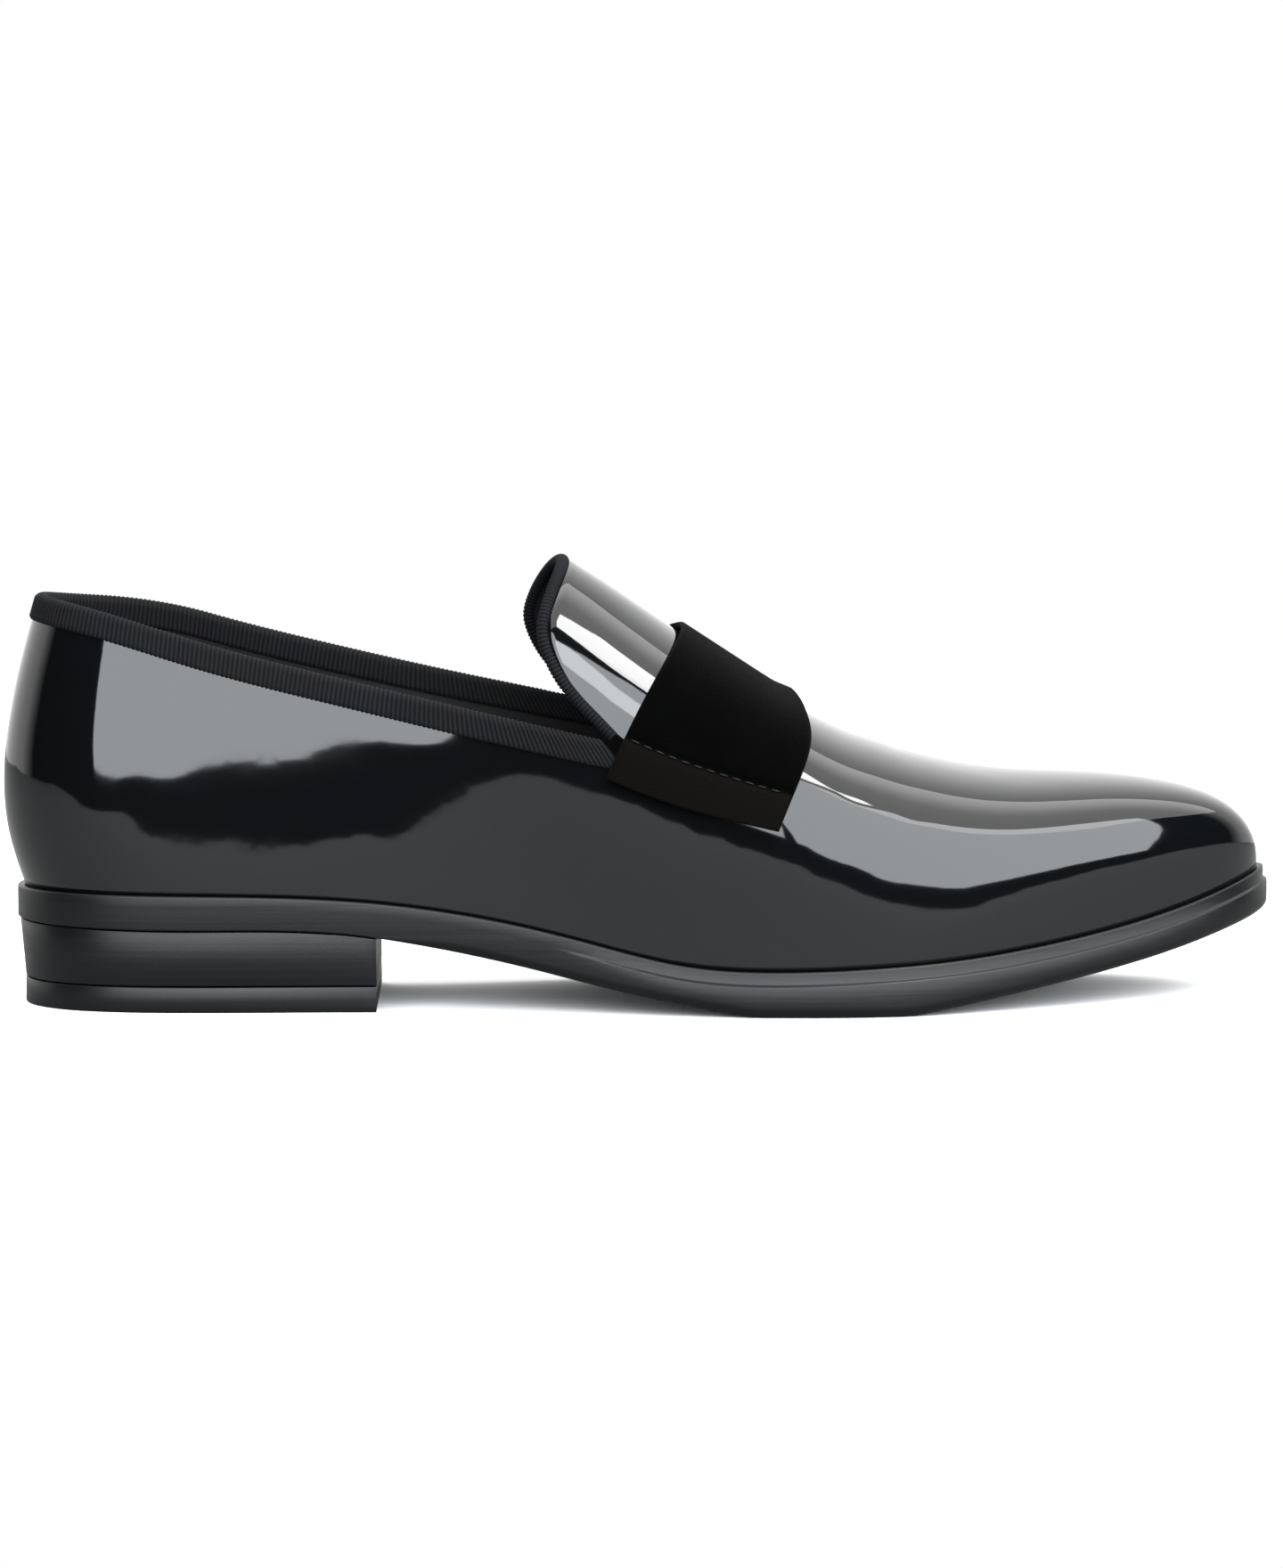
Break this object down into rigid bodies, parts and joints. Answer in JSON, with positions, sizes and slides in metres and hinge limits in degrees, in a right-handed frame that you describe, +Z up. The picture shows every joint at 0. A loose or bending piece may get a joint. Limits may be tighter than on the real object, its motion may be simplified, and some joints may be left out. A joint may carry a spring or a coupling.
{
  "type": "patent leather loafer",
  "caption": "Black patent leather loafer, a right shoe, with a velvet strap over the vamp, a ribbed collar binding and a low heel.",
  "frame": {"origin": "on the floor under the middle of the shoe's box", "axes": "+X towards the toe, +Y towards the inner (medial) side, +Z up"},
  "size_m": [0.3004, 0.1016, 0.1044],
  "materials": {
    "patent": "black patent lacquer, mirror gloss",
    "ribbon": "ribbed grosgrain, matt",
    "velvet": "velvet pile",
    "sole": "moulded, satin",
    "lining": "smooth lining, matt"
  },
  "bodies": {
    "root": {"upper": "patent", "collar_binding": "ribbon", "tab_piping": "ribbon", "vamp_strap": "velvet", "insole": "lining", "outsole": "sole", "heel": "sole", "heel_top_piece": "sole"}
  },
  "joints": []
}
